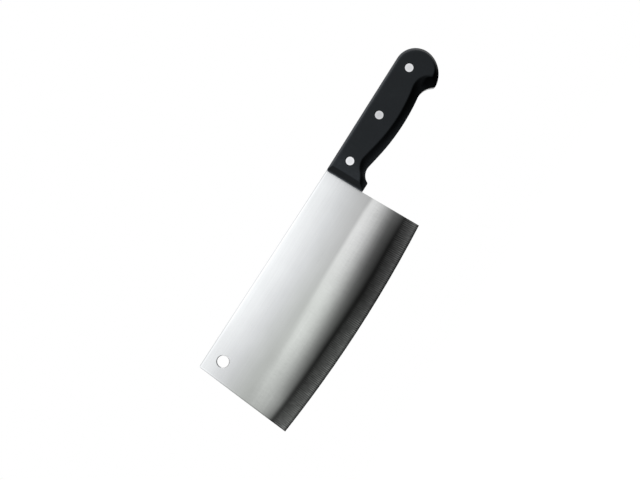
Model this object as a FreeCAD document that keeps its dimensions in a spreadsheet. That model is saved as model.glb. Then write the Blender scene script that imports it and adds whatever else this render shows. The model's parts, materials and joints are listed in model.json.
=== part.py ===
import FreeCAD, Part
import math
import os

import Sketcher

# Meat cleaver: a blade with a full tang, two handle scales and three two-piece cutler's rivets.
#
# Model frame: +X runs from the blade's tip to the butt of the handle, +Z from the cutting edge up
# to the spine, and Y across the thickness, with the left scale on -Y. The origin is the middle of
# the bottom of the whole cleaver's box. Sketches are drawn from the heel, the line where the blade
# meets the handle. Lengths are in millimetres and angles in degrees.

# Name of the sheet's cell, its value and what it measures. "rim" is the border that the tang and
# both scales share; "face" is the border of a scale's flat outer face.
DIMENSIONS = (
    ("heel_from_origin", 34.35, "heel, ahead of the middle of the whole length"),
    ("blade_half", 1.5, "half thickness of blade and tang"),
    ("handle_half", 10.0, "half thickness of the handle, over both scales"),
    ("blade_length", 184.1, "heel to the tip corner on the edge"),
    ("heel_edge_x", 1.65, "heel corner on the edge"),
    ("tip_spine_x", 177.6, "heel to the tip corner on the spine"),
    ("tip_spine_height", 86.7, "tip corner on the spine"),
    ("tip_corner_radius", 2.0, "rounding of that corner"),
    ("edge_radius", 978.2, "sweep of the cutting edge"),
    ("edge_low_x", 81.1, "heel to the lowest point of the edge"),
    ("grind_height", 42.0, "edge to the start of the main grind"),
    ("grind_radius", 1300.0, "convex section of the main grind"),
    ("shoulder_height", 12.6, "edge to the shoulder of the cutting bevel"),
    ("shoulder_half", 0.8, "half thickness at the shoulder"),
    ("honed_height", 0.75, "edge to the top of the honed bevel"),
    ("honed_half", 0.2, "half thickness at the top of the honed bevel"),
    ("edge_half", 0.05, "half thickness of the edge itself"),
    ("grind_room", 1.0, "how far the grinding cut reaches beyond the metal"),
    ("grind_angle", 12.6, "angle that the grinding cut turns through"),
    ("hang_hole_x", 164.5, "heel to the hanging hole"),
    ("hang_hole_height", 73.5, "hanging hole's centre"),
    ("hang_hole_radius", 4.5, "hanging hole"),
    ("hang_hole_chamfer", 0.6, "bevel around each mouth of the hanging hole"),
    ("rivet_front_x", 14.35, "heel to the front rivet"),
    ("rivet_middle_x", 55.2, "heel to the middle rivet"),
    ("rivet_rear_x", 97.2, "heel to the rear rivet"),
    ("rivet_height", 73.6, "rivet centres"),
    ("rivet_head_radius", 3.35, "rivet head"),
    ("rivet_head_thickness", 1.4, "rivet head"),
    ("rivet_head_break", 0.15, "broken edge of a rivet head"),
    ("rivet_recess", 0.03, "rivet head below the scale's face"),
    ("rivet_sleeve_radius", 2.5, "outside of a rivet's sleeve"),
    ("rivet_stud_radius", 1.6, "rivet's stud and the sleeve's bore"),
    ("rivet_end_gap", 0.5, "free length at the end of the stud"),
    ("rivet_mouth_gap", 0.05, "sleeve's mouth to the stud's head"),
    ("rivet_hole_radius", 2.6, "hole for the sleeve, in tang and scales"),
    ("rivet_seat_radius", 3.39, "counterbore for a rivet head"),
    ("scale_land", 4.25, "straight side of a scale, out from the tang"),
    ("scale_face_round", 1.8, "rounding of the border of a scale's face"),
    ("scale_corner_round", 1.5, "rounding of a scale's front top corner"),
    ("rim_front_top_x", -0.85, "front top corner of the rim"),
    ("rim_front_top_z", 84.9, "front top corner of the rim"),
    ("rim_butt_x", 99.1, "centre of the round of the butt"),
    ("rim_butt_z", 68.9, "centre of the round of the butt"),
    ("rim_butt_radius", 16.3, "round of the butt"),
    ("rim_palm_x", 94.5, "centre of the sweep below the butt"),
    ("rim_palm_radius", 21.1, "sweep below the butt"),
    ("rim_beak_radius", 2.0, "point of the beak"),
    ("rim_hook_x", 83.6, "centre of the hollow in front of the beak"),
    ("rim_hook_z", 42.45, "centre of the hollow in front of the beak"),
    ("rim_hook_radius", 13.7, "hollow in front of the beak"),
    ("rim_belly_x", 59.5, "centre of the belly's sweep"),
    ("rim_belly_z", 217.3, "centre of the belly's sweep"),
    ("rim_guard_x", 16.75, "centre of the finger hollow"),
    ("rim_guard_z", 49.6, "centre of the finger hollow"),
    ("rim_guard_radius", 9.9, "finger hollow"),
    ("rim_lip_x", 6.85, "rear end of the guard's flat bottom"),
    ("rim_lip_z", 53.3, "rear end of the guard's flat bottom"),
    ("rim_front_bottom_x", -0.15, "front bottom corner of the rim"),
    ("rim_front_bottom_z", 53.3, "front bottom corner of the rim"),
    ("face_front_top_x", 4.3, "front top corner of the face"),
    ("face_front_top_z", 82.8, "front top corner of the face"),
    ("face_butt_x", 98.1, "centre of the round of the butt"),
    ("face_butt_z", 68.2, "centre of the round of the butt"),
    ("face_butt_radius", 15.1, "round of the butt"),
    ("face_palm_x", 101.9, "centre of the sweep below the butt"),
    ("face_palm_radius", 10.9, "sweep below the butt"),
    ("face_beak_radius", 1.5, "point of the beak"),
    ("face_hook_x", 89.5, "centre of the hollow in front of the beak"),
    ("face_hook_z", 50.7, "centre of the hollow in front of the beak"),
    ("face_hook_radius", 13.4, "hollow in front of the beak"),
    ("face_belly_x", 61.1, "centre of the belly's sweep"),
    ("face_belly_z", 186.2, "centre of the belly's sweep"),
    ("face_guard_x", 20.5, "centre of the finger hollow"),
    ("face_guard_z", 54.4, "centre of the finger hollow"),
    ("face_guard_radius", 12.3, "finger hollow"),
    ("face_lip_x", 8.6, "rear end of the guard's bottom"),
    ("face_lip_z", 60.9, "rear end of the guard's bottom"),
    ("face_front_bottom_x", 4.8, "front bottom corner of the face"),
    ("face_front_bottom_z", 58.6, "front bottom corner of the face"),
)
SIZE = {alias: value for alias, value, _meaning in DIMENSIONS}

# Sketcher's numbers for the origin, the vertical axis and the three vertices of a segment.
ORIGIN_POINT = (-1, 1)
VERTICAL_AXIS = -2
START, END, CENTRE = 1, 2, 3

# Two places closer than this are one.
SAME_PLACE = 0.001
# From a scale's front top corner, on the rim, to the far end of that corner on the face.
CORNER_REACH = 7.0

RIVETS = ("front", "middle", "rear")
RIVET_HOLES = {name: ("rivet_%s_x" % name, "rivet_height") for name in RIVETS}
OPPOSITE = {"+ ": "- ", "- ": "+ "}


def fill_sheet(doc):
    """Writes the driving dimensions into a sheet, one row each."""
    sheet = doc.addObject("Spreadsheet::Sheet", "dims")
    for row, (alias, value, meaning) in enumerate(DIMENSIONS, start=1):
        sheet.set("A%d" % row, alias)
        sheet.set("B%d" % row, str(value))
        sheet.set("C%d" % row, meaning)
        sheet.setAlias("B%d" % row, alias)


# Plane geometry -------------------------------------------------------------------------------

def point(x, z):
    """A point of a sketch: x towards the butt, z up."""
    return FreeCAD.Vector(x, z, 0)


def sized_point(name):
    """The point that the cells name_x and name_z give."""
    return point(SIZE[name + "_x"], SIZE[name + "_z"])


def towards(start, end):
    """Unit vector from start to end."""
    return (end - start).normalize()


def turned(vector, radians):
    """The vector turned anticlockwise."""
    return FreeCAD.Rotation(FreeCAD.Vector(0, 0, 1), math.degrees(radians)).multVec(vector)


def circles_meet(first, first_radius, second, second_radius):
    """Where two circles cross, on the right of the way from the first centre to the second."""
    span = first.distanceToPoint(second)
    reach = (first_radius ** 2 - second_radius ** 2 + span ** 2) / (2 * span)
    angle = math.acos(reach / first_radius)
    return first + turned(towards(first, second), -angle) * first_radius


# Sketch helpers -------------------------------------------------------------------------------

def new_sketch(body, name, role, offsets=None):
    """A sketch on one of the body's origin planes, moved off it by the given formulas."""
    sketch = body.newObject("Sketcher::SketchObject", name)
    plane = next(item for item in body.Origin.OriginFeatures if item.Role == role)
    sketch.AttachmentSupport = [(plane, "")]
    sketch.MapMode = "FlatFace"
    for axis, formula in (offsets or {}).items():
        sketch.setExpression("AttachmentOffset.Base." + axis, measure(formula)[1])
    return sketch


def measure(formula):
    """Value and sheet expression of a sum of cells, such as "handle_half - rivet_recess"."""
    value = 0.0
    terms = []
    sign = "+"
    for word in formula.split():
        if word in "+-":
            sign = word
            continue
        value += SIZE[word] if sign == "+" else -SIZE[word]
        terms.append(sign + " dims." + word)
        sign = "+"
    return value, " ".join(terms).removeprefix("+ ")


def bind(sketch, name, kind, references, formula):
    """Adds a dimension to a sketch and ties it to the sheet."""
    value, expression = measure(formula)
    index = sketch.addConstraint(Sketcher.Constraint(kind, *references, value))
    sketch.renameConstraint(index, name)
    sketch.setExpression("Constraints." + name, expression)


def bind_point(sketch, name, vertex, x_formula, z_formula):
    """Ties both coordinates of a vertex to the sheet."""
    bind(sketch, name + "_x", "DistanceX", ORIGIN_POINT + vertex, x_formula)
    bind(sketch, name + "_z", "DistanceY", ORIGIN_POINT + vertex, z_formula)


def add_line(sketch, start, end):
    """Adds a line, as (index, vertex it leaves from, vertex it arrives at)."""
    return sketch.addGeometry(Part.LineSegment(start, end)), START, END


def add_arc(sketch, centre, start, end, clockwise):
    """Adds an arc from start to end about centre, in the form that add_line gives."""
    first, last = (end, start) if clockwise else (start, end)
    circle = Part.Circle(centre, FreeCAD.Vector(0, 0, 1), centre.distanceToPoint(start))
    first_angle = math.atan2(first.y - centre.y, first.x - centre.x)
    last_angle = math.atan2(last.y - centre.y, last.x - centre.x)
    if last_angle < first_angle:
        last_angle += 2 * math.pi
    index = sketch.addGeometry(Part.ArcOfCircle(circle, first_angle, last_angle))
    return (index, END, START) if clockwise else (index, START, END)


def join(sketch, segment, following, smooth):
    """Joins the end of one segment to the start of the next, tangent where smooth."""
    kind = "Tangent" if smooth else "Coincident"
    ends = (segment[0], segment[2], following[0], following[1])
    sketch.addConstraint(Sketcher.Constraint(kind, *ends))


# Handle border --------------------------------------------------------------------------------

def butt_and_palm(zone):
    """Centre of the palm sweep, and the point where it leaves the round of the butt."""
    butt = sized_point(zone + "_butt")
    growth = SIZE[zone + "_palm_radius"] - SIZE[zone + "_butt_radius"]
    palm_x = SIZE[zone + "_palm_x"]
    rise = math.sqrt(growth ** 2 - (palm_x - butt.x) ** 2)
    palm = point(palm_x, butt.y + math.copysign(rise, growth))
    outward = towards(palm, butt) * math.copysign(1, growth)
    return palm, butt + outward * SIZE[zone + "_butt_radius"]


def lip_round(zone):
    """Centre of the arc that joins the finger hollow to the guard's bottom, and where it starts."""
    guard = sized_point(zone + "_guard")
    guard_radius = SIZE[zone + "_guard_radius"]
    lip = sized_point(zone + "_lip")
    inward = turned(towards(lip, sized_point(zone + "_front_bottom")), -math.pi / 2)
    offset = lip - guard
    radius = (offset.dot(offset) - guard_radius ** 2) / (2 * (guard_radius - inward.dot(offset)))
    centre = lip + inward * radius
    return centre, guard + towards(guard, centre) * guard_radius


def draw_handle_border(sketch, zone):
    """Draws the border from the front top corner round by the butt to the guard's front corner."""
    front_top = sized_point(zone + "_front_top")
    butt = sized_point(zone + "_butt")
    hook = sized_point(zone + "_hook")
    belly = sized_point(zone + "_belly")
    guard = sized_point(zone + "_guard")
    butt_radius = SIZE[zone + "_butt_radius"]
    palm_radius = SIZE[zone + "_palm_radius"]
    beak_radius = SIZE[zone + "_beak_radius"]
    hook_radius = SIZE[zone + "_hook_radius"]
    guard_radius = SIZE[zone + "_guard_radius"]

    top_turn = math.acos(butt_radius / butt.distanceToPoint(front_top))
    top_end = butt + turned(towards(butt, front_top), -top_turn) * butt_radius
    palm, palm_start = butt_and_palm(zone)
    beak = circles_meet(hook, hook_radius + beak_radius, palm, palm_radius - beak_radius)
    beak_start = palm + towards(palm, beak) * palm_radius
    hook_start = hook + towards(hook, beak) * hook_radius
    belly_start = hook + towards(hook, belly) * hook_radius
    belly_radius = belly.distanceToPoint(belly_start)
    neck_turn = math.acos((belly_radius + guard_radius) / guard.distanceToPoint(belly))
    neck_normal = turned(towards(guard, belly), neck_turn)
    neck_start = belly - neck_normal * belly_radius
    guard_start = guard + neck_normal * guard_radius
    lip_centre, lip_start = lip_round(zone)

    segments = [
        add_line(sketch, front_top, top_end),
        add_arc(sketch, butt, top_end, palm_start, clockwise=True),
        add_arc(sketch, palm, palm_start, beak_start, clockwise=True),
        add_arc(sketch, beak, beak_start, hook_start, clockwise=True),
        add_arc(sketch, hook, hook_start, belly_start, clockwise=False),
        add_arc(sketch, belly, belly_start, neck_start, clockwise=True),
        add_line(sketch, neck_start, guard_start),
        add_arc(sketch, guard, guard_start, lip_start, clockwise=False),
        add_arc(sketch, lip_centre, lip_start, sized_point(zone + "_lip"), clockwise=True),
        add_line(sketch, sized_point(zone + "_lip"), sized_point(zone + "_front_bottom")),
    ]
    top, butt_arc, palm_arc, beak_arc, hook_arc, belly_arc, _neck, guard_arc, _lip, bottom = segments
    for segment, following in zip(segments, segments[1:]):
        join(sketch, segment, following, smooth=True)

    bind_point(sketch, "front_top", (top[0], START), zone + "_front_top_x", zone + "_front_top_z")
    for name, arc in (("butt", butt_arc), ("hook", hook_arc), ("belly", belly_arc), ("guard", guard_arc)):
        bind_point(sketch, name, (arc[0], CENTRE), zone + "_" + name + "_x", zone + "_" + name + "_z")
    bind(sketch, "palm_x", "DistanceX", ORIGIN_POINT + (palm_arc[0], CENTRE), zone + "_palm_x")
    for name, arc in (("butt", butt_arc), ("palm", palm_arc), ("beak", beak_arc), ("hook", hook_arc),
                      ("guard", guard_arc)):
        bind(sketch, name + "_radius", "Radius", (arc[0],), zone + "_" + name + "_radius")
    bind_point(sketch, "lip", (bottom[0], START), zone + "_lip_x", zone + "_lip_z")
    bind_point(sketch, "front_bottom", (bottom[0], END),
               zone + "_front_bottom_x", zone + "_front_bottom_z")
    return top, bottom


# Blade ----------------------------------------------------------------------------------------

def draw_blade_outline(sketch):
    """Blade and tang in one outline: the handle's rim, the heel, the edge, the tip and the spine."""
    radius = SIZE["edge_radius"]
    sweep_centre = point(-SIZE["edge_low_x"], radius)

    def on_edge(x):
        return point(x, radius - math.sqrt(radius ** 2 - (x - sweep_centre.x) ** 2))

    heel_corner = on_edge(SIZE["heel_edge_x"])
    tip_corner = on_edge(-SIZE["blade_length"])
    spine_corner = point(-SIZE["tip_spine_x"], SIZE["tip_spine_height"])

    top, bottom = draw_handle_border(sketch, "rim")
    heel = add_line(sketch, sized_point("rim_front_bottom"), heel_corner)
    edge = add_arc(sketch, sweep_centre, heel_corner, tip_corner, clockwise=True)
    tip = add_line(sketch, tip_corner, spine_corner)
    spine = add_line(sketch, spine_corner, sized_point("rim_front_top"))
    chain = [bottom, heel, edge, tip, spine, top]
    for segment, following in zip(chain, chain[1:]):
        join(sketch, segment, following, smooth=False)

    bind_point(sketch, "sweep", (edge[0], CENTRE), "- edge_low_x", "edge_radius")
    bind(sketch, "edge_radius", "Radius", (edge[0],), "edge_radius")
    bind(sketch, "heel_edge_x", "DistanceX", ORIGIN_POINT + (heel[0], END), "heel_edge_x")
    bind(sketch, "blade_length", "DistanceX", ORIGIN_POINT + (tip[0], START), "- blade_length")
    bind_point(sketch, "spine_corner", (spine[0], START), "- tip_spine_x", "tip_spine_height")


def draw_grind_section(sketch, side):
    """One side's grinding cut, across the edge, with the sketch's origin at the sweep's centre."""
    level = -SIZE["edge_radius"]
    start = point(side * SIZE["blade_half"], level + SIZE["grind_height"])
    shoulder = point(side * SIZE["shoulder_half"], level + SIZE["shoulder_height"])
    honed = point(side * SIZE["honed_half"], level + SIZE["honed_height"])
    edge = point(side * SIZE["edge_half"], level)
    below = edge - point(0, SIZE["grind_room"])
    outer_x = start.x + side * SIZE["grind_room"]
    top_to_bottom = (start, shoulder) if side > 0 else (shoulder, start)
    centre = circles_meet(top_to_bottom[0], SIZE["grind_radius"],
                          top_to_bottom[1], SIZE["grind_radius"])

    convex = add_arc(sketch, centre, start, shoulder, clockwise=side > 0)
    bevel = add_line(sketch, shoulder, honed)
    hone = add_line(sketch, honed, edge)
    drop = add_line(sketch, edge, below)
    floor = add_line(sketch, below, point(outer_x, below.y))
    wall = add_line(sketch, point(outer_x, below.y), point(outer_x, start.y))
    roof = add_line(sketch, point(outer_x, start.y), start)
    chain = [convex, bevel, hone, drop, floor, wall, roof, convex]
    for segment, following in zip(chain, chain[1:]):
        join(sketch, segment, following, smooth=False)

    hand, sign = ("right_", "+ ") if side > 0 else ("left_", "- ")
    for line in (floor, roof):
        sketch.addConstraint(Sketcher.Constraint("Horizontal", line[0]))
    for line in (drop, wall):
        sketch.addConstraint(Sketcher.Constraint("Vertical", line[0]))
    bind(sketch, hand + "radius", "Radius", (convex[0],), "grind_radius")
    for name, line, half in (("start", convex, "blade_half"), ("shoulder", bevel, "shoulder_half"),
                             ("honed", hone, "honed_half"), ("edge", drop, "edge_half")):
        bind(sketch, hand + name, "DistanceX", ORIGIN_POINT + line[:2], sign + half)
    bind(sketch, hand + "level", "DistanceY", ORIGIN_POINT + drop[:2], "- edge_radius")
    for line, height in ((convex, "grind_height"), (bevel, "shoulder_height"), (hone, "honed_height")):
        bind(sketch, hand + height, "DistanceY", drop[:2] + line[:2], height)
    bind(sketch, hand + "below", "DistanceY", (drop[0], drop[2]) + drop[:2], "grind_room")
    bind(sketch, hand + "outer", "DistanceX", (roof[0], roof[2], roof[0], roof[1]), sign + "grind_room")


def edge_near(shape, place):
    """Name of the edge whose middle is nearest to a place."""
    distances = [edge.CenterOfMass.distanceToPoint(place) for edge in shape.Edges]
    return "Edge%d" % (distances.index(min(distances)) + 1)


def drill(body, name, holes, radius):
    """Cuts round holes right through a body along Y. Holes maps a name to formulas for x and z."""
    sketch = new_sketch(body, name + "Sketch", "XZ_Plane")
    for label, (x_formula, z_formula) in holes.items():
        centre = point(measure(x_formula)[0], measure(z_formula)[0])
        circle = sketch.addGeometry(Part.Circle(centre, FreeCAD.Vector(0, 0, 1), SIZE[radius]))
        bind_point(sketch, label, (circle, CENTRE), x_formula, z_formula)
        bind(sketch, label + "_radius", "Radius", (circle,), radius)
    pocket = body.newObject("PartDesign::Pocket", name)
    pocket.Profile = sketch
    pocket.Type = "ThroughAll"
    pocket.SideType = "Symmetric"
    return pocket


def make_blade(doc):
    """Blade and full tang in one piece of steel."""
    body = doc.addObject("PartDesign::Body", "Blade")
    body.Label = "blade"
    outline = new_sketch(body, "BladeOutline", "XZ_Plane")
    draw_blade_outline(outline)
    plate = body.newObject("PartDesign::Pad", "BladePlate")
    plate.Profile = outline
    plate.SideType = "Symmetric"
    plate.setExpression("Length", "2 * dims.blade_half")
    doc.recompute()

    corner = body.newObject("PartDesign::Fillet", "TipCorner")
    place = FreeCAD.Vector(-SIZE["tip_spine_x"], 0, SIZE["tip_spine_height"])
    corner.Base = (plate, [edge_near(plate.Shape, place)])
    corner.setExpression("Radius", "dims.tip_corner_radius")

    section = new_sketch(body, "GrindSection", "YZ_Plane", {"y": "edge_radius", "z": "- edge_low_x"})
    draw_grind_section(section, 1)
    draw_grind_section(section, -1)
    grind = body.newObject("PartDesign::Groove", "Grind")
    grind.Profile = section
    grind.ReferenceAxis = (section, ["H_Axis"])
    grind.Midplane = True
    grind.setExpression("Angle", "dims.grind_angle")

    drill(body, "HangingHole", {"hang": ("- hang_hole_x", "hang_hole_height")}, "hang_hole_radius")
    drilled = drill(body, "TangHoles", RIVET_HOLES, "rivet_hole_radius")
    doc.recompute()
    mouths = []
    for side in (1, -1):
        place = FreeCAD.Vector(-SIZE["hang_hole_x"], side * SIZE["blade_half"], SIZE["hang_hole_height"])
        mouths.append(edge_near(drilled.Shape, place))
    bevel = body.newObject("PartDesign::Chamfer", "HangingHoleBevel")
    bevel.Base = (drilled, mouths)
    bevel.setExpression("Size", "dims.hang_hole_chamfer")
    return body


# Handle scales --------------------------------------------------------------------------------

def scale_section(body, name, zone, depth):
    """A closed border of a scale, at a depth from the middle plane."""
    sketch = new_sketch(body, name, "XZ_Plane", {"z": depth})
    top, bottom = draw_handle_border(sketch, zone)
    front = add_line(sketch, sized_point(zone + "_front_bottom"), sized_point(zone + "_front_top"))
    join(sketch, bottom, front, smooth=False)
    join(sketch, front, top, smooth=False)
    return sketch


def edges_at_depth(shape, depth):
    """Names of the edges that lie wholly at one depth across the thickness."""
    names = []
    for number, edge in enumerate(shape.Edges, start=1):
        if all(abs(vertex.Y - depth) < SAME_PLACE for vertex in edge.Vertexes):
            names.append("Edge%d" % number)
    return names


def edges_across(shape, corner, reach):
    """Names of the edges that run across the thickness and lie within reach of a border's corner."""
    names = []
    for number, edge in enumerate(shape.Edges, start=1):
        ends = [vertex.Point for vertex in edge.Vertexes]
        is_near = all(point(end.x, end.z).distanceToPoint(corner) < reach for end in ends)
        depths = [end.y for end in ends]
        if is_near and max(depths) - min(depths) > SAME_PLACE:
            names.append("Edge%d" % number)
    return names


def make_scale(doc, label, side):
    """One handle scale: a straight land on the tang's rim, then sides that lean in to the face."""
    body = doc.addObject("PartDesign::Body", label.title().replace("_", ""))
    body.Label = label
    outward = "- " if side > 0 else "+ "
    root = scale_section(body, "TangSection", "rim", outward + "blade_half")
    land = body.newObject("PartDesign::Pad", "Land")
    land.Profile = root
    land.Reversed = side > 0
    land.setExpression("Length", "dims.scale_land")

    land_depth = outward + "blade_half " + outward + "scale_land"
    lower = scale_section(body, "LandSection", "rim", land_depth)
    upper = scale_section(body, "FaceSection", "face", outward + "handle_half")
    sides = body.newObject("PartDesign::AdditiveLoft", "LeaningSides")
    sides.Profile = lower
    sides.Sections = [upper]
    sides.Ruled = True
    doc.recompute()

    corner = body.newObject("PartDesign::Fillet", "FrontCorner")
    corner.Base = (sides, edges_across(sides.Shape, sized_point("rim_front_top"), CORNER_REACH))
    corner.setExpression("Radius", "dims.scale_corner_round")
    doc.recompute()
    rounding = body.newObject("PartDesign::Fillet", "FaceRounding")
    rounding.Base = (corner, edges_at_depth(corner.Shape, side * SIZE["handle_half"]))
    rounding.setExpression("Radius", "dims.scale_face_round")

    drill(body, "SleeveHoles", RIVET_HOLES, "rivet_hole_radius")
    seats = drill(body, "HeadSeats", RIVET_HOLES, "rivet_seat_radius")
    seats.Type = "Length"
    seats.SideType = "One side"
    seats.Reversed = side > 0
    seats.setExpression("Length", "dims.rivet_head_thickness + dims.rivet_recess")
    seats.Profile[0].setExpression("AttachmentOffset.Base.z", measure(outward + "handle_half")[1])
    return body


# Rivets ---------------------------------------------------------------------------------------

def make_rivet_half(doc, label, rivet, corners):
    """One half of a rivet, turned about its axis along Y. Corners are (radius, depth) formulas."""
    body = doc.addObject("PartDesign::Body", label.title().replace("_", ""))
    body.Label = label
    sketch = new_sketch(body, "Profile", "XY_Plane")
    places = [point(measure(radius)[0], measure(depth)[0]) for radius, depth in corners]
    lines = [add_line(sketch, start, end) for start, end in zip(places, places[1:] + places[:1])]
    for index, (line, following) in enumerate(zip(lines, lines[1:] + lines[:1])):
        join(sketch, line, following, smooth=False)
        radius, depth = corners[index]
        bind(sketch, "depth_%d" % index, "DistanceY", ORIGIN_POINT + line[:2], depth)
        if radius:
            bind(sketch, "radius_%d" % index, "DistanceX", ORIGIN_POINT + line[:2], radius)
        else:
            sketch.addConstraint(Sketcher.Constraint("PointOnObject", line[0], START, VERTICAL_AXIS))
    turning = body.newObject("PartDesign::Revolution", "Turning")
    turning.Profile = sketch
    turning.ReferenceAxis = (sketch, ["V_Axis"])
    body.setExpression("Placement.Base.z", "dims.rivet_height")
    body.setExpression("Placement.Base.x", "dims.heel_from_origin + dims.rivet_%s_x" % rivet)
    return body


def head_corners(sign):
    """Corners of a rivet head, from the middle of its face to the root of its shank."""
    face = sign + "handle_half " + OPPOSITE[sign] + "rivet_recess"
    seat = face + " " + OPPOSITE[sign] + "rivet_head_thickness"
    return [
        ("", face),
        ("rivet_head_radius - rivet_head_break", face),
        ("rivet_head_radius", face + " " + OPPOSITE[sign] + "rivet_head_break"),
        ("rivet_head_radius", seat),
    ]


def make_stud(doc, rivet):
    """The male half, with its head on the left."""
    seat = "handle_half - rivet_recess - rivet_head_thickness"
    end = seat + " - rivet_end_gap"
    shank = [("rivet_stud_radius", "- handle_half + rivet_recess + rivet_head_thickness"),
             ("rivet_stud_radius", end), ("", end)]
    return make_rivet_half(doc, rivet + "_rivet_stud", rivet, head_corners("- ") + shank)


def make_sleeve(doc, rivet):
    """The female half, with its head on the right and a blind bore for the stud."""
    seat = "handle_half - rivet_recess - rivet_head_thickness"
    mouth = "- handle_half + rivet_recess + rivet_head_thickness + rivet_mouth_gap"
    shank = [("rivet_sleeve_radius", seat), ("rivet_sleeve_radius", mouth),
             ("rivet_stud_radius", mouth), ("rivet_stud_radius", seat), ("", seat)]
    return make_rivet_half(doc, rivet + "_rivet_sleeve", rivet, head_corners("+ ") + shank)


# Whole cleaver --------------------------------------------------------------------------------

def check(doc, bodies):
    """Stops on any failed object or unsound solid."""
    for item in doc.Objects:
        faults = [state for state in item.State if state in ("Invalid", "Error")]
        if faults:
            raise RuntimeError("%s is %s" % (item.Label, faults))
    for body in bodies:
        shape = body.Shape
        if shape.isNull() or not shape.isValid() or len(shape.Solids) != 1:
            raise RuntimeError("%s is not one sound solid" % body.Label)


def main():
    doc = FreeCAD.newDocument("MeatCleaver")
    fill_sheet(doc)
    doc.recompute()
    handled = [make_blade(doc)]
    handled.append(make_scale(doc, "left_handle_scale", -1))
    handled.append(make_scale(doc, "right_handle_scale", 1))
    for body in handled:
        body.setExpression("Placement.Base.x", "dims.heel_from_origin")
    studs = [make_stud(doc, rivet) for rivet in RIVETS]
    sleeves = [make_sleeve(doc, rivet) for rivet in RIVETS]
    bodies = handled + studs + sleeves
    doc.recompute()
    check(doc, bodies)
    os.makedirs("parts", exist_ok=True)
    for body in bodies:
        body.Shape.exportStep("parts/%s.step" % body.Label)


main()
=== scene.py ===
import json
import math

import bpy
from mathutils import Matrix, Vector


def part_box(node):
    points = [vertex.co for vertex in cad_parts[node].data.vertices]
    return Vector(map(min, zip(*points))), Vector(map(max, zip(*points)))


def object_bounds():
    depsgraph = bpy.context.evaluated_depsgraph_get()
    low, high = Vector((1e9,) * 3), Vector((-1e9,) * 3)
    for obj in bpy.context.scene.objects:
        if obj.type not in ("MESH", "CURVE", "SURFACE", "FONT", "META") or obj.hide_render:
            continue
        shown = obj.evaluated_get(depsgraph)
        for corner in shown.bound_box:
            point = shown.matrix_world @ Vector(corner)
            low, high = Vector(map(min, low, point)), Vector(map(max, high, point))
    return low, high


# Meat cleaver: a satin steel blade, black plastic handle scales and aluminium rivets, on a pale floor in
# a white studio. No piece is added: the CAD nodes get materials, with light and shade painted into their
# colours, and the scales' edges are eased.

MM = 0.001
PER_METRE = 1000.0  # millimetres in a metre: the shaders work in millimetres
SCREEN_GAMMA = 2.2
NOISE_RANGE = (0.3, 0.7)  # most of a noise texture lies between these

# A table below is a row of (place, value) stops, with straight lines between them. Brightness is as on
# a screen, from 0 to 1.

# The blade's ground zones, as heights above its cutting edge, in millimetres.
SHOULDER = 12.6
HONED = 0.75
SHOULDER_BLEND = 0.3
SCRATCHED_BELOW = (44.0, 36.0)  # the scratches start at the first and are in full at the second

# The flat's brightness by height, a painted reflection of the studio: it climbs from the top of the main
# grind to the spine.
FLAT_PAINTED_REFLECTION = ((38.0, 0.70), (42.0, 0.732), (47.0, 0.75), (55.0, 0.802), (65.0, 0.872), (75.0, 0.938),
              (80.0, 0.958), (84.5, 1.0), (87.0, 1.0))
# The main grind's painted reflection falls from light to near black as it nears the shoulder. The fall
# comes lower in the middle of the blade than at the heel, and it is softest towards the tip.
HEEL_GRIND_PAINTED_REFLECTION = ((12.6, 0.125), (13.4, 0.145), (14.2, 0.18), (16.0, 0.235), (20.0, 0.325),
                    (24.0, 0.475), (28.0, 0.645), (32.0, 0.765), (35.0, 0.825), (38.5, 0.865),
                    (44.0, 0.865))
MIDDLE_GRIND_PAINTED_REFLECTION = ((12.6, 0.14), (13.5, 0.15), (14.2, 0.19), (15.2, 0.245), (17.0, 0.34),
                      (20.0, 0.455), (24.0, 0.61), (28.0, 0.735), (32.0, 0.81), (36.0, 0.845),
                      (40.0, 0.82), (44.0, 0.79))
TIP_GRIND_PAINTED_REFLECTION = ((12.6, 0.23), (13.6, 0.285), (15.0, 0.42), (16.5, 0.51), (20.0, 0.61), (24.0, 0.69),
                   (28.0, 0.72), (33.0, 0.735), (37.0, 0.715), (44.0, 0.70))
# The edge bevel's painted reflection lightens from the shoulder to the edge, where a thin line is painted
# darker.
BEVEL_PAINTED_REFLECTION = ((0.0, 0.29), (1.6, 0.30), (3.0, 0.29), (5.0, 0.25), (8.0, 0.205), (10.0, 0.177),
               (11.2, 0.145), (12.6, 0.115))
EDGE_LINE = (0.8 * HONED, 3.2 * HONED)
PAINTED_EDGE_LINE_SHADE = 0.66

# Along the blade, from 0 at the heel to 1 at the tip: how much lighter or darker each zone's painted
# reflection is, how far the grind has turned from its heel look (0) past its middle look (1) to its tip
# look (2), and how high and how soft the upper line of the grind is, in millimetres.
FLAT_GAIN = ((0.0, 0.945), (0.06, 0.975), (0.16, 0.985), (0.35, 1.0), (0.5, 1.0), (0.72, 0.99),
             (0.92, 0.965), (1.0, 0.975))
GRIND_GAIN = ((0.0, 0.865), (0.06, 0.945), (0.12, 0.995), (0.9, 1.0), (0.96, 0.97), (1.0, 0.94))
GRIND_LIFT = ((0.0, 0.10), (0.05, 0.04), (0.12, 0.0), (1.0, 0.0))
BEVEL_LIFT = ((0.0, 0.055), (0.04, 0.04), (0.12, 0.02), (0.22, 0.01), (0.35, 0.0), (0.47, 0.03),
              (0.6, 0.06), (0.78, 0.065), (0.92, 0.10), (1.0, 0.13))
GRIND_TURN = ((0.0, 0.0), (0.25, 0.0), (0.62, 1.0), (0.72, 1.25), (0.84, 1.6), (0.92, 2.0), (1.0, 2.0))
BAND_HEIGHT = ((0.0, 40.7), (0.06, 42.0), (0.16, 42.9), (0.35, 43.4), (0.47, 43.0), (0.6, 41.7),
               (0.75, 40.0), (1.0, 40.0))
BAND_SOFTNESS = ((0.0, 3.4), (0.35, 4.0), (0.47, 5.0), (0.6, 7.0), (0.75, 9.0), (1.0, 12.0))

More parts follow.
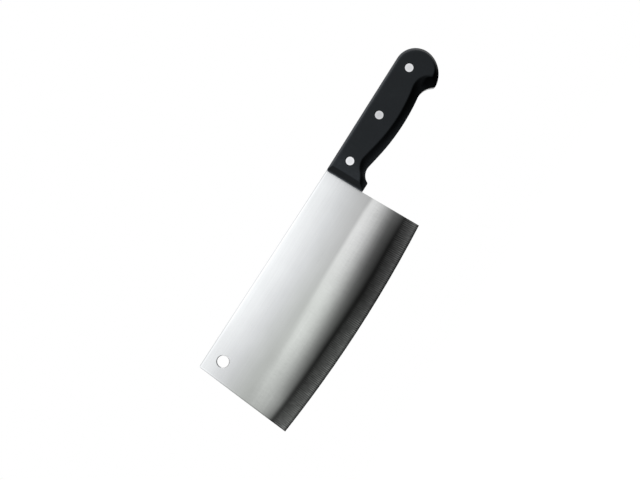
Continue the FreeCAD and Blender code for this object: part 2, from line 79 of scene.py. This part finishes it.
# The wheel's marks across the bevel: their pitch in millimetres, how far they drift in radians, how deep
# they are in weak and strong patches and along the blade, and how ragged they are.
MARK_PITCH = 1.5
MARK_DRIFT = 4.0
MARK_PATCH_RANGE = (0.38, 0.56)
MARK_DEPTH = (0.10, 0.42)
MARK_GAIN = ((0.0, 0.6), (0.3, 1.0), (0.5, 1.4), (0.65, 0.9), (0.85, 0.6), (1.0, 0.45))
MARK_RAGGEDNESS = 0.9
PATCHES_LEVEL = 2.0  # where the patches cut through their noise, so that they differ from the drift

# Where the satin turns over the corner at the spine and the tip, in millimetres from the border: a thin
# painted dark line, and inside it a painted highlight strip. The tip's strip fades out below the spine.
SPINE_RISE = 1.8  # that the spine climbs from the heel to the tip
TIP_LEAN = 6.5  # that the tip leans back from the edge to the spine
BORDER_LINE = (0.35, 0.75)
PAINTED_BORDER_LINE_SHADE = 0.86
SPINE_STRIP = (0.9, 2.2)
TIP_STRIP = (0.9, 1.9)
TIP_STRIP_HEIGHTS = (40.0, 75.0)
PAINTED_HIGHLIGHT_GAIN = 0.045

# The hanging hole's bevel: painted shade where it faces towards the handle and the edge, a painted
# highlight elsewhere.
HOLE_BORDER = 1.0  # millimetres round the hole that the bevel lies in
HOLE_BLEND = 0.2
HOLE_DARK_X = 0.50
HOLE_DARK_Z = -0.87
HOLE_DARK_RANGE = (0.05, 0.35)
HOLE_PAINTED_HIGHLIGHT_AND_SHADE = (1.12, 0.60)
END_SHADE = 0.86  # brightness of the blade's spine and ends
SIDEWAYS = (0.80, 0.97)  # how squarely a face looks to the side before it counts as a broad side

# The steel's finish: roughness, depth of the relief, the flat's share of it, and how strongly it is
# brushed and scratched.
FLAT_ROUGHNESS = 0.30
BEVEL_ROUGHNESS = 0.38
STEEL_RELIEF = 0.02 * MM
FLAT_RELIEF = 0.35
BRUSHING = 0.45
SCRATCH_DEPTH = 0.10

# Colours of the steel: bluish near the spine, and on the grind neutral at the heel and greenish
# towards the tip. The first change goes by height, the second along the blade.
SPINE_TINT = (0.965, 0.985, 1.0)
HEEL_TINT = (0.985, 0.995, 0.99)
TIP_TINT = (0.965, 1.0, 0.965)
SPINE_TINT_HEIGHTS = (42.0, 62.0)
TIP_TINT_RUN = (0.2, 0.5)

# Grain, as lumps per millimetre: along x, y and z, or along the edge, above it and across the blade.
STREAKS = (0.02, 0.5, 1.2)
BLOTCHES = (0.04, 0.1, 0.07)
SCRATCHES = (1.1, 0.22, 0.5)
FLAT_GRAIN = (0.12, 2.0, 9.0)
BEVEL_GRAIN = (3.0, 0.1, 1.0)
DRIFT_GRAIN = (0.10, 0.08, 1.0)
RAGGED_GRAIN = (1.3, 0.16, 1.0)
PATCH_GRAIN = (0.13, 0.14, 1.0)
HANDLE_CLOUDS = (0.07, 0.06, 0.09)
HANDLE_MOTTLE = (0.5, 0.5, 0.6)
HANDLE_PEBBLES = (2.6, 2.6, 2.6)
RIVET_RINGS = (6.0, 1.0, 1.0)  # the first is along the radius
RIVET_SCUFFS = (1.2, 1.0, 0.5)
FLOOR_DUST = (0.01, 0.01, 0.01)

# The handle's brightness against millimetres from its front end: its face, a painted reflection that
# lightens towards the blade, the hollow under the grip, painted light that darkens towards the butt, and
# how glossy that hollow is.
FACE_PAINTED_REFLECTION = ((0.0, 0.135), (12.0, 0.125), (19.0, 0.085), (35.0, 0.082), (60.0, 0.075), (95.0, 0.07),
              (116.0, 0.05))
UNDER_PAINTED_LIGHT = ((0.0, 0.10), (12.0, 0.12), (45.0, 0.125), (60.0, 0.105), (75.0, 0.065), (90.0, 0.045),
               (116.0, 0.04))
UNDER_GLOSS_STOPS = ((0.0, 0.17), (12.0, 0.17), (50.0, 0.16), (70.0, 0.10), (85.0, 0.05), (92.0, 0.045),
                     (106.0, 0.045), (112.0, 0.18), (116.0, 0.2))
PLASTIC_TINT = (0.88, 0.99, 1.15)
PLASTIC_SHEEN = (0.82, 0.92, 1.0, 1.0)
PLASTIC_RELIEF = 0.02 * MM
# Painted light on the handle's sloping border and on its straight land: a painted highlight on top, in
# front painted shade on the border and a painted highlight on the land, and painted shade on the sloping
# border underneath.
TOP_PAINTED_HIGHLIGHTS = (0.15, 0.20)
FRONT_PAINTED_LIGHT = (0.0, 0.22)
UNDER_BORDER_PAINTED_SHADE = 0.01
# How glossy the handle is, how glossy its front is, and how much less the border underneath is.
GLOSS = 0.25
FRONT_GLOSS = 0.19
UNDER_BORDER_GLOSS = 0.6
# How far a surface has to face up, forward or down to count as the handle's top, front or underside.
TOP_FACING = (0.06, 0.65)
FRONT_FACING = (-0.12, -0.55)
UNDER_FACING = (-0.12, -0.55)
# Millimetres from the blade's middle plane: from the sloping border's rim in to the straight land.
BORDER_TO_LAND = (9.4, 6.2)
FRONT_TO_LAND = (6.9, 6.2)
# Millimetres from the handle's front end that its front reaches to, and that the hook starts at.
FRONT_REACH = (14.0, 9.0)
HOOK_START = (82.0, 94.0)
HOOK_HEIGHTS = (62.5, 58.0)  # above the foot of the edge: the hook's painted shade sets in between them
HOOK_DEPTH = (9.8, 9.2)  # from the blade's middle plane: its sloping border lies inside these

# Brightness of a rivet from its axis (0) to its rim (1), with painted shade in a dark ring at the rim,
# and how bright each rivet is, as painted light, since all three are of one aluminium.
RIVET_PAINTED_LIGHT_STOPS = ((0.0, 0.90), (0.5, 0.92), (0.78, 0.95), (0.90, 0.95), (0.955, 0.80), (1.0, 0.45))
RIVET_PAINTED_TONES = {"front": 0.995, "middle": 0.875, "rear": 0.93}
RIVET_TINT = (0.975, 0.982, 1.0)
RIVET_RELIEF = 0.01 * MM

# The scales' skin: how near corners are joined, the remesh's voxel, and how much its edges are eased.
WELD_REACH = 0.001 * MM
SKIN_VOXEL = 0.40 * MM
EASE_FACTOR = 0.5
EASE_ROUNDS = 4

# The studio's light by the height of its direction, from straight down (-1) to straight up (1).
STUDIO_STOPS = ((-1.0, 0.10), (-0.6, 0.30), (-0.35, 0.80), (-0.1, 1.06), (0.3, 1.06), (0.7, 0.75),
                (1.0, 0.65))
SOFTBOX_PLACE = Vector((-0.3, -0.2, 1.3))  # from the object's middle, in metres
SOFTBOX_WIDTH = 1.2
SOFTBOX_POWER = 12.0
WHITE = (1.0, 1.0, 1.0, 1.0)
FLOOR_REACH = 4.0
FLOOR_SHADES = (0.955, 0.97)
GLANCING = (0.10, 0.22)  # the steepness of the view over which the floor turns from white to matt

# The camera looks square at the blade's left side, rolled so that the handle points up and right.
CAMERA_ROLL = math.radians(57.6)
CAMERA_LENS = 85.0
CAMERA_SENSOR = 36.0
PICTURE_WIDTH = 0.484
AIM_FROM_CENTRE = Vector((-0.01335, 0.0, 0.0175))


class Graph:
    """One node tree, with short ways to add nodes and join them."""

    def __init__(self, tree):
        tree.nodes.clear()
        self.tree = tree

    def node(self, kind, **settings):
        made = self.tree.nodes.new(kind)
        for name, value in settings.items():
            setattr(made, name, value)
        return made

    def feed(self, socket, value):
        """Joins value to the socket if it is a socket, or writes it in as a plain value."""
        if isinstance(value, bpy.types.NodeSocket):
            self.tree.links.new(value, socket)
        else:
            socket.default_value = value

    def math(self, operation, first, second=0.0):
        made = self.node("ShaderNodeMath", operation=operation)
        self.feed(made.inputs[0], first)
        self.feed(made.inputs[1], second)
        return made.outputs[0]

    def times(self, first, second):
        return self.math("MULTIPLY", first, second)

    def plus(self, first, second):
        return self.math("ADD", first, second)

    def minus(self, first, second):
        return self.math("SUBTRACT", first, second)

    def distance(self, across, up):
        """Length of the diagonal of across and up."""
        square = self.plus(self.times(across, across), self.times(up, up))
        return self.math("SQRT", square)

    def span(self, value, low, high, start=0.0, end=1.0, smooth=False):
        """value mapped from low..high to start..end, held at both ends."""
        made = self.node("ShaderNodeMapRange")
        made.interpolation_type = "SMOOTHSTEP" if smooth else "LINEAR"
        for index, given in enumerate((value, low, high, start, end)):
            self.feed(made.inputs[index], given)
        return made.outputs[0]

    def ramp(self, value, stops):
        """The table of stops read at value, and held at both ends. Its values may pass 1."""
        first = stops[0][0]
        last = stops[-1][0]
        tallest = max(height for at, height in stops)
        place = self.span(value, first, last)
        made = self.node("ShaderNodeValToRGB")
        made.color_ramp.interpolation = "LINEAR"
        elements = made.color_ramp.elements
        anywhere = 0.5
        while len(elements) < len(stops):
            elements.new(anywhere)
        for element, (at, height) in zip(elements, stops):
            element.position = (at - first) / (last - first)
            shade = height / tallest
            element.color = (shade, shade, shade, 1.0)
        self.feed(made.inputs[0], place)
        grey = self.node("ShaderNodeSeparateColor")
        self.feed(grey.inputs[0], made.outputs[0])
        return self.times(grey.outputs[0], tallest)

    def swing(self, noise, low, high):
        """A noise mapped from its usual range to low..high."""
        return self.span(noise, *NOISE_RANGE, low, high)

    def mix(self, factor, first, second):
        """first where factor is 0 and second where it is 1."""
        made = self.node("ShaderNodeMix", data_type="FLOAT")
        self.feed(made.inputs[0], factor)
        self.feed(made.inputs[2], first)
        self.feed(made.inputs[3], second)
        return made.outputs[0]

    def vector(self, x, y, z):
        made = self.node("ShaderNodeCombineXYZ")
        for index, given in enumerate((x, y, z)):
            self.feed(made.inputs[index], given)
        return made.outputs[0]

    def parts(self, vector):
        """The x, y and z of a vector."""
        made = self.node("ShaderNodeSeparateXYZ")
        self.feed(made.inputs[0], vector)
        return made.outputs[0], made.outputs[1], made.outputs[2]

    def stretched(self, place, stretch):
        """place with its x, y and z each multiplied by a number of its own."""
        made = self.node("ShaderNodeVectorMath", operation="MULTIPLY")
        self.feed(made.inputs[0], place)
        made.inputs[1].default_value = stretch
        return made.outputs[0]

    def noise(self, place, lumps, detail=2.0, roughness=0.5):
        """Cloudy noise from 0 to 1, with so many lumps per unit of place along x, y and z."""
        made = self.node("ShaderNodeTexNoise")
        made.inputs["Scale"].default_value = 1.0
        made.inputs["Detail"].default_value = detail
        made.inputs["Roughness"].default_value = roughness
        self.feed(made.inputs["Vector"], self.stretched(place, lumps))
        return made.outputs[0]

    def bump(self, height, distance, strength):
        """A normal for a relief of this height, distance deep."""
        made = self.node("ShaderNodeBump")
        made.inputs["Strength"].default_value = strength
        made.inputs["Distance"].default_value = distance
        self.feed(made.inputs["Height"], height)
        return made.outputs[0]

    def mix_tint(self, factor, first, second):
        """mix, for colours."""
        made = self.node("ShaderNodeMix", data_type="VECTOR")
        self.feed(made.inputs[0], factor)
        self.feed(made.inputs[4], first)
        self.feed(made.inputs[5], second)
        return made.outputs[1]

    def grey_to_light(self, grey, tint):
        """A screen brightness as the colour that a shader takes, tinted."""
        made = self.node("ShaderNodeVectorMath", operation="SCALE")
        self.feed(made.inputs[0], tint)
        self.feed(made.inputs["Scale"], self.math("POWER", grey, SCREEN_GAMMA))
        return made.outputs[0]


def new_material(name):
    material = bpy.data.materials.new(name)
    material.use_nodes = True
    return material, Graph(material.node_tree)


def finish_material(graph, **inputs):
    """The material's one surface shader, with its inputs named in words joined by underscores."""
    shader = graph.node("ShaderNodeBsdfPrincipled")
    for name, value in inputs.items():
        graph.feed(shader.inputs[name.replace("_", " ")], value)
    output = graph.node("ShaderNodeOutputMaterial")
    graph.feed(output.inputs["Surface"], shader.outputs[0])


def place_in_millimetres(graph):
    """The shaded point in the row frame, in millimetres."""
    coordinates = graph.node("ShaderNodeTexCoord")
    return graph.stretched(coordinates.outputs["Object"], (PER_METRE, PER_METRE, PER_METRE))


def facing(graph, output):
    """The x, y and z of a direction that the Geometry node gives."""
    geometry = graph.node("ShaderNodeNewGeometry")
    return graph.parts(geometry.outputs[output])


def circle_through(a, b, c):
    """(x, z, radius) of the circle through three points of the XZ plane."""
    square = [p.x * p.x + p.z * p.z for p in (a, b, c)]
    area = 2 * (a.x * (b.z - c.z) + b.x * (c.z - a.z) + c.x * (a.z - b.z))
    x = (square[0] * (b.z - c.z) + square[1] * (c.z - a.z) + square[2] * (a.z - b.z)) / area
    z = (square[0] * (c.x - b.x) + square[1] * (a.x - c.x) + square[2] * (b.x - a.x)) / area
    return x, z, math.hypot(a.x - x, a.z - z)


def edge_sweep(blade):
    """The circle that the cutting edge lies on, in millimetres, from the blade's own mesh. The edge is
    the only place where the mesh comes this near the blade's middle plane."""
    half_edge = 0.1 * MM
    edge = sorted((v.co for v in blade.data.vertices if abs(v.co.y) < half_edge), key=lambda p: p.x)
    x, z, radius = circle_through(edge[0], edge[len(edge) // 2], edge[-1])
    return x * PER_METRE, z * PER_METRE, radius * PER_METRE


def grind_painted_reflection(graph, height, run):
    """The brightness of the main grind, a painted reflection of the studio."""
    turned = graph.ramp(run, GRIND_TURN)
    shade = graph.mix(
        graph.span(turned, 0.0, 1.0),
        graph.ramp(height, HEEL_GRIND_PAINTED_REFLECTION),
        graph.ramp(height, MIDDLE_GRIND_PAINTED_REFLECTION),
    )
    shade = graph.mix(graph.span(turned, 1.0, 2.0), shade, graph.ramp(height, TIP_GRIND_PAINTED_REFLECTION))
    shade = graph.times(shade, graph.ramp(run, GRIND_GAIN))
    return graph.plus(shade, graph.ramp(run, GRIND_LIFT))


def bevel_shade(graph, height, run, arc):
    """The edge bevel's painted reflection, with the wheel's marks across it, stronger in patches."""
    shade = graph.plus(graph.ramp(height, BEVEL_PAINTED_REFLECTION), graph.ramp(run, BEVEL_LIFT))
    place = graph.vector(arc, height, 0.0)
    drift = graph.times(graph.noise(place, DRIFT_GRAIN), MARK_DRIFT)
    comb = graph.math("SINE", graph.plus(graph.times(arc, math.tau / MARK_PITCH), drift))
    patches = graph.noise(graph.vector(arc, height, PATCHES_LEVEL), PATCH_GRAIN)
    depth = graph.span(patches, *MARK_PATCH_RANGE, *MARK_DEPTH, smooth=True)
    depth = graph.times(depth, graph.ramp(run, MARK_GAIN))
    ragged = graph.minus(graph.noise(place, RAGGED_GRAIN, 3.0, 0.7), 0.5)
    marks = graph.plus(graph.times(comb, depth), graph.times(ragged, MARK_RAGGEDNESS))
    shade = graph.times(shade, graph.plus(1.0, marks))
    return graph.times(shade, graph.span(height, *EDGE_LINE, PAINTED_EDGE_LINE_SHADE, 1.0))


def below_shoulder(graph, height):
    """1 on the edge bevel and 0 above it."""
    return graph.span(height, SHOULDER + SHOULDER_BLEND, SHOULDER - SHOULDER_BLEND)


def sides_painted_reflection(graph, height, run, arc):
    """The brightness of the blade's broad sides, a painted reflection of the studio. height is above the
    edge, arc is along it, and run goes from 0 at the heel to 1 at the tip."""
    flat = graph.times(graph.ramp(height, FLAT_PAINTED_REFLECTION), graph.ramp(run, FLAT_GAIN))
    softness = graph.times(graph.ramp(run, BAND_SOFTNESS), 0.5)
    band_height = graph.ramp(run, BAND_HEIGHT)
    in_grind = graph.span(
        height,
        graph.plus(band_height, softness),
        graph.minus(band_height, softness),
        smooth=True,
    )
    upper = graph.mix(in_grind, flat, grind_painted_reflection(graph, height, run))
    return graph.mix(below_shoulder(graph, height), upper, bevel_shade(graph, height, run, arc))


def border_painted_light(graph, x, z, run):
    """How much lighter or darker the blade is painted along the spine and the tip: a painted highlight
    strip inside a thin painted dark line."""
    low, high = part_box("blade")
    height = high.z * PER_METRE
    spine = graph.plus(graph.times(run, SPINE_RISE), height - SPINE_RISE)
    below_spine = graph.minus(spine, z)
    at_spine = graph.span(below_spine, *SPINE_STRIP, 1.0, 0.0, smooth=True)
    tip = graph.plus(graph.times(z, TIP_LEAN / height), low.x * PER_METRE)
    past_tip = graph.minus(x, tip)
    at_tip = graph.span(past_tip, *TIP_STRIP, 1.0, 0.0, smooth=True)
    at_tip = graph.times(at_tip, graph.span(z, *TIP_STRIP_HEIGHTS))
    # painted highlight strip inside the spine and the tip
    strip = graph.plus(1.0, graph.times(graph.math("MAXIMUM", at_spine, at_tip), PAINTED_HIGHLIGHT_GAIN))
    to_border = graph.math("MINIMUM", below_spine, past_tip)
    # painted dark line at the very border
    line = graph.span(to_border, *BORDER_LINE, PAINTED_BORDER_LINE_SHADE, 1.0)
    return graph.times(strip, line)


def hole_bevel_painted_light(graph, x, z, normal_x, normal_z):
    """(1 at the hanging hole and 0 away from it, painted highlight and shade of the hole's bevel)."""
    mount = next(m for m in frame["record"]["mounts"] if m["name"] == "hanging_hole")
    centre = [value * PER_METRE for value in mount["pos_m"]]
    away = graph.distance(graph.minus(x, centre[0]), graph.minus(z, centre[2]))
    border = mount["dims"]["r_mm"] + HOLE_BORDER
    near = graph.span(away, border + HOLE_BLEND, border)
    # how far the bevel faces the side that gets the painted shade
    dark = graph.plus(graph.times(normal_x, HOLE_DARK_X), graph.times(normal_z, HOLE_DARK_Z))
    return near, graph.span(dark, *HOLE_DARK_RANGE, *HOLE_PAINTED_HIGHLIGHT_AND_SHADE, smooth=True)


def steel_variation(graph, place, height, along_edge):
    """How much the steel's brightness varies: streaks and blotches all over, scratches on the grind."""
    streaks = graph.noise(place, STREAKS, 4.0, 0.6)
    blotches = graph.noise(place, BLOTCHES)
    scratches = graph.minus(graph.noise(along_edge, SCRATCHES, 3.0, 0.65), 0.5)
    scratch_depth = graph.times(graph.span(height, *SCRATCHED_BELOW), SCRATCH_DEPTH)
    variation = graph.plus(graph.swing(streaks, -0.010, 0.010), graph.swing(blotches, -0.010, 0.010))
    return graph.plus(variation, graph.times(scratches, scratch_depth))


def steel_tint(graph, height, run):
    """The steel's colour."""
    low_tint = graph.mix_tint(graph.span(run, *TIP_TINT_RUN), HEEL_TINT, TIP_TINT)
    return graph.mix_tint(graph.span(height, *SPINE_TINT_HEIGHTS), low_tint, SPINE_TINT)


def blade_material(blade):
    """Satin steel with painted reflections, highlights and shade: flat, main grind, cross-ground edge
    bevel, and brushed ends and spine.
    """
    material, graph = new_material("blade_satin_steel")
    centre_x, centre_z, radius = edge_sweep(blade)
    handle_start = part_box("left_handle_scale")[0].x * PER_METRE
    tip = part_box("blade")[0].x * PER_METRE
    place = place_in_millimetres(graph)
    x, y, z = graph.parts(place)

    across = graph.minus(x, centre_x)
    below = graph.minus(centre_z, z)
    height = graph.minus(radius, graph.distance(across, below))
    arc = graph.times(graph.math("ARCTAN2", across, below), radius)
    along_edge = graph.vector(arc, height, y)
    run = graph.span(x, handle_start, tip)

    # painted reflections of the broad sides, times the painted highlight and dark line along the spine and
    # tip
    shade = graph.times(sides_painted_reflection(graph, height, run, arc), border_painted_light(graph, x, z, run))
    variation = steel_variation(graph, place, height, along_edge)
    shade = graph.times(shade, graph.plus(1.0, variation))

    normal_x, normal_y, normal_z = facing(graph, "True Normal")
    sideways = graph.span(graph.math("ABSOLUTE", normal_y), *SIDEWAYS, smooth=True)
    near_hole, hole_painted_light = hole_bevel_painted_light(graph, x, z, normal_x, normal_z)
    rim_shade = graph.mix(near_hole, END_SHADE, hole_painted_light)
    shade = graph.mix(sideways, rim_shade, shade)

    grain = graph.noise(place, FLAT_GRAIN, 3.0, 0.6)
    cross_grain = graph.noise(along_edge, BEVEL_GRAIN, 3.0, 0.6)
    in_bevel = below_shoulder(graph, height)
    roughness = graph.mix(in_bevel, FLAT_ROUGHNESS, BEVEL_ROUGHNESS)
    roughness = graph.plus(roughness, graph.swing(grain, -0.03, 0.03))
    relief = graph.mix(in_bevel, graph.times(grain, FLAT_RELIEF), cross_grain)
    finish_material(
        graph,
        Base_Color=graph.grey_to_light(shade, steel_tint(graph, height, run)),
        Metallic=1.0,
        Roughness=roughness,
        Anisotropic=BRUSHING,
        Tangent=graph.vector(1.0, 0.0, 0.0),
        Normal=graph.bump(relief, STEEL_RELIEF, 0.5),
    )
    return material


def hook_painted_shade_mask(graph, from_front, z, out):
    """1 on the sloping border of the hook at the butt, which gets painted shade, and 0 elsewhere."""
    mask = graph.times(graph.span(from_front, *HOOK_START), graph.span(z, *HOOK_HEIGHTS))
    return graph.times(mask, graph.span(out, *HOOK_DEPTH))


def handle_material():
    """Satin black moulded plastic, with light and shade painted into its colour: painted highlights on its
    upper border and at its front land, painted shade on its front border, a painted reflection that
    lightens its face towards the blade, and painted shade in the hollow of the grip under the face's edge."""
    material, graph = new_material("handle_black_plastic")
    place = place_in_millimetres(graph)
    x, y, z = graph.parts(place)
    from_front = graph.minus(x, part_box("left_handle_scale")[0].x * PER_METRE)
    out = graph.math("ABSOLUTE", y)
    normal_x, normal_y, normal_z = facing(graph, "Normal")
    to_land = graph.span(out, *BORDER_TO_LAND)

    clouds = graph.noise(place, HANDLE_CLOUDS, 3.0, 0.6)
    mottle = graph.noise(place, HANDLE_MOTTLE, 3.0, 0.6)
    pebbles = graph.noise(place, HANDLE_PEBBLES, 3.0, 0.6)
    # painted reflection: the face lightens towards the blade
    shade = graph.plus(graph.ramp(from_front, FACE_PAINTED_REFLECTION), graph.swing(clouds, -0.012, 0.012))

    # painted highlight on the upper sloping border and land
    top = graph.span(normal_z, *TOP_FACING)
    top_painted_highlight = graph.mix(to_land, *TOP_PAINTED_HIGHLIGHTS)
    shade = graph.mix(top, shade, top_painted_highlight)
    # painted shade on the front sloping border, a painted highlight on its land
    front = graph.times(graph.span(normal_x, *FRONT_FACING), graph.span(from_front, *FRONT_REACH))
    front_painted_light = graph.mix(graph.span(out, *FRONT_TO_LAND), *FRONT_PAINTED_LIGHT)
    shade = graph.mix(front, shade, front_painted_light)
    # painted shade on the sloping border under the grip and in the hook, painted lighter at its land in
    # front
    hook = hook_painted_shade_mask(graph, from_front, z, out)
    under = graph.math("MAXIMUM", graph.span(normal_z, *UNDER_FACING), hook)
    under_painted_light = graph.mix(to_land, UNDER_BORDER_PAINTED_SHADE, graph.ramp(from_front, UNDER_PAINTED_LIGHT))
    shade = graph.mix(under, shade, under_painted_light)
    shade = graph.times(shade, graph.swing(mottle, 0.90, 1.10))

    gloss = graph.mix(front, GLOSS, FRONT_GLOSS)
    border_gloss = graph.mix(to_land, UNDER_BORDER_GLOSS, 1.0)
    under_gloss = graph.times(graph.ramp(from_front, UNDER_GLOSS_STOPS), border_gloss)
    gloss = graph.mix(under, gloss, under_gloss)
    roughness = graph.plus(graph.swing(clouds, 0.36, 0.44), graph.swing(pebbles, -0.03, 0.03))
    finish_material(
        graph,
        Base_Color=graph.grey_to_light(shade, PLASTIC_TINT),
        Roughness=roughness,
        Specular_IOR_Level=gloss,
        Specular_Tint=PLASTIC_SHEEN,
        Normal=graph.bump(pebbles, PLASTIC_RELIEF, 0.5),
    )
    return material


def rivet_material(rivet):
    """Bright aluminium with turning marks round the rivet's own axis, painted shade in a dark ring at its
    rim, and a painted brightness of its own.
    """
    material, graph = new_material(rivet + "_rivet_aluminium")
    low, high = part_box(rivet + "_rivet_stud")
    centre = (low + high) / 2 * PER_METRE
    radius = (high.x - low.x) / 2 * PER_METRE
    place = place_in_millimetres(graph)
    x, y, z = graph.parts(place)
    from_axis = graph.distance(graph.minus(x, centre.x), graph.minus(z, centre.z))
    # painted shade ring at the rim, and this rivet's painted brightness
    shade = graph.times(graph.ramp(graph.times(from_axis, 1 / radius), RIVET_PAINTED_LIGHT_STOPS), RIVET_PAINTED_TONES[rivet])
    rings = graph.noise(graph.vector(from_axis, 0.0, 0.0), RIVET_RINGS, 2.0, 0.6)
    scuffs = graph.noise(place, RIVET_SCUFFS, 3.0, 0.6)
    variation = graph.plus(graph.swing(rings, -0.02, 0.02), graph.swing(scuffs, -0.03, 0.02))
    shade = graph.times(shade, graph.plus(1.0, variation))
    finish_material(
        graph,
        Base_Color=graph.grey_to_light(shade, RIVET_TINT),
        Metallic=1.0,
        Roughness=graph.swing(scuffs, 0.26, 0.38),
        Normal=graph.bump(rings, RIVET_RELIEF, 0.4),
    )
    return material


def paint(node, material):
    node.data.materials.clear()
    node.data.materials.append(material)
    for face in node.data.polygons:
        face.material_index = 0


def soften_scale(node):
    """Moulded plastic has no knife-sharp corners: the solid is remeshed finely and its edges eased."""
    weld = node.modifiers.new("joined_corners", "WELD")
    weld.merge_threshold = WELD_REACH
    remesh = node.modifiers.new("even_skin", "REMESH")
    remesh.mode = "VOXEL"
    remesh.voxel_size = SKIN_VOXEL
    remesh.use_smooth_shade = True
    ease = node.modifiers.new("eased_edges", "SMOOTH")
    ease.factor = EASE_FACTOR
    ease.iterations = EASE_ROUNDS


def floor_material():
    """Pale and matt from above. Seen at a low angle it is as white as the studio behind it."""
    material, graph = new_material("floor_pale")
    view_x, view_y, view_z = facing(graph, "Incoming")
    dust = graph.noise(place_in_millimetres(graph), FLOOR_DUST)
    matt = graph.node("ShaderNodeBsdfDiffuse")
    graph.feed(matt.inputs["Color"], graph.grey_to_light(graph.swing(dust, *FLOOR_SHADES), (1.0, 1.0, 1.0)))
    glow = graph.node("ShaderNodeEmission")
    glow.inputs["Color"].default_value = WHITE
    blend = graph.node("ShaderNodeMixShader")
    graph.feed(blend.inputs[0], graph.span(view_z, *GLANCING, 1.0, 0.0, smooth=True))
    graph.feed(blend.inputs[1], matt.outputs[0])
    graph.feed(blend.inputs[2], glow.outputs[0])
    output = graph.node("ShaderNodeOutputMaterial")
    graph.feed(output.inputs["Surface"], blend.outputs[0])
    return material


def make_floor(level):
    """A floor at the object's foot. The steel doesn't mirror it."""
    mesh = bpy.data.meshes.new("floor")
    sides = ((-FLOOR_REACH, -FLOOR_REACH), (FLOOR_REACH, -FLOOR_REACH), (FLOOR_REACH, FLOOR_REACH),
             (-FLOOR_REACH, FLOOR_REACH))
    mesh.from_pydata([(x, y, level) for x, y in sides], [], [(0, 1, 2, 3)])
    floor = bpy.data.objects.new("floor", mesh)
    bpy.context.scene.collection.objects.link(floor)
    floor.visible_glossy = False
    paint(floor, floor_material())


def make_studio():
    """Plain soft light, strongest from the sides and weakest from below. The camera sees white behind
    the object."""
    world = bpy.data.worlds.new("studio")
    bpy.context.scene.world = world
    world.use_nodes = True
    graph = Graph(world.node_tree)
    coordinates = graph.node("ShaderNodeTexCoord")
    x, y, z = graph.parts(coordinates.outputs["Generated"])
    room = graph.node("ShaderNodeBackground")
    graph.feed(room.inputs["Strength"], graph.ramp(z, STUDIO_STOPS))
    white = graph.node("ShaderNodeBackground")
    white.inputs["Strength"].default_value = 1.0
    for background in (room, white):
        background.inputs["Color"].default_value = WHITE
    path = graph.node("ShaderNodeLightPath")
    choose = graph.node("ShaderNodeMixShader")
    graph.feed(choose.inputs[0], path.outputs["Is Camera Ray"])
    graph.feed(choose.inputs[1], room.outputs[0])
    graph.feed(choose.inputs[2], white.outputs[0])
    output = graph.node("ShaderNodeOutputWorld")
    graph.feed(output.inputs["Surface"], choose.outputs[0])


def add_softbox(place, target):
    """A large soft lamp over the object, which the steel doesn't mirror."""
    lamp = bpy.data.lights.new("top_softbox", "AREA")
    lamp.shape = "SQUARE"
    lamp.size = SOFTBOX_WIDTH
    lamp.energy = SOFTBOX_POWER
    softbox = bpy.data.objects.new("top_softbox", lamp)
    softbox.location = place
    softbox.visible_glossy = False
    softbox.rotation_euler = (target - place).to_track_quat("-Z", "Y").to_euler()
    bpy.context.scene.collection.objects.link(softbox)


def make_camera(centre):
    """Square on to the blade's left side and rolled, so that the handle points up and to the right."""
    right = Vector((math.cos(CAMERA_ROLL), 0.0, -math.sin(CAMERA_ROLL)))
    up = Vector((math.sin(CAMERA_ROLL), 0.0, math.cos(CAMERA_ROLL)))
    back = Vector((0.0, -1.0, 0.0))
    distance = PICTURE_WIDTH * CAMERA_LENS / CAMERA_SENSOR
    data = bpy.data.cameras.new("camera")
    data.lens = CAMERA_LENS
    data.sensor_width = CAMERA_SENSOR
    camera = bpy.data.objects.new("camera", data)
    turn = Matrix((right, up, back)).transposed()
    camera.matrix_world = Matrix.Translation(centre + AIM_FROM_CENTRE + back * distance) @ turn.to_4x4()
    bpy.context.scene.collection.objects.link(camera)
    bpy.context.scene.camera = camera


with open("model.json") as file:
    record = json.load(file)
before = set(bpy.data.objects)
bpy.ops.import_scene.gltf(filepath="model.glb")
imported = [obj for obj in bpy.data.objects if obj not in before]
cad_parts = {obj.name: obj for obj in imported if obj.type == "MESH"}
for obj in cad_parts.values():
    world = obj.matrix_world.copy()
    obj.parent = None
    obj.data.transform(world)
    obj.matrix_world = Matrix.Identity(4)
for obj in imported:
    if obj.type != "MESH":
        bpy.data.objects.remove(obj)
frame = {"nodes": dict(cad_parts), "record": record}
cad_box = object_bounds()
nodes = frame["nodes"]

paint(nodes["blade"], blade_material(nodes["blade"]))
plastic = handle_material()
for scale in ("left_handle_scale", "right_handle_scale"):
    paint(nodes[scale], plastic)
    soften_scale(nodes[scale])
for rivet in RIVET_PAINTED_TONES:
    aluminium = rivet_material(rivet)
    paint(nodes[rivet + "_rivet_stud"], aluminium)
    paint(nodes[rivet + "_rivet_sleeve"], aluminium)

middle = (cad_box[0] + cad_box[1]) / 2
make_floor(cad_box[0].z)
make_studio()
add_softbox(middle + SOFTBOX_PLACE, middle)
make_camera(middle)
bpy.context.scene.view_settings.view_transform = "Standard"
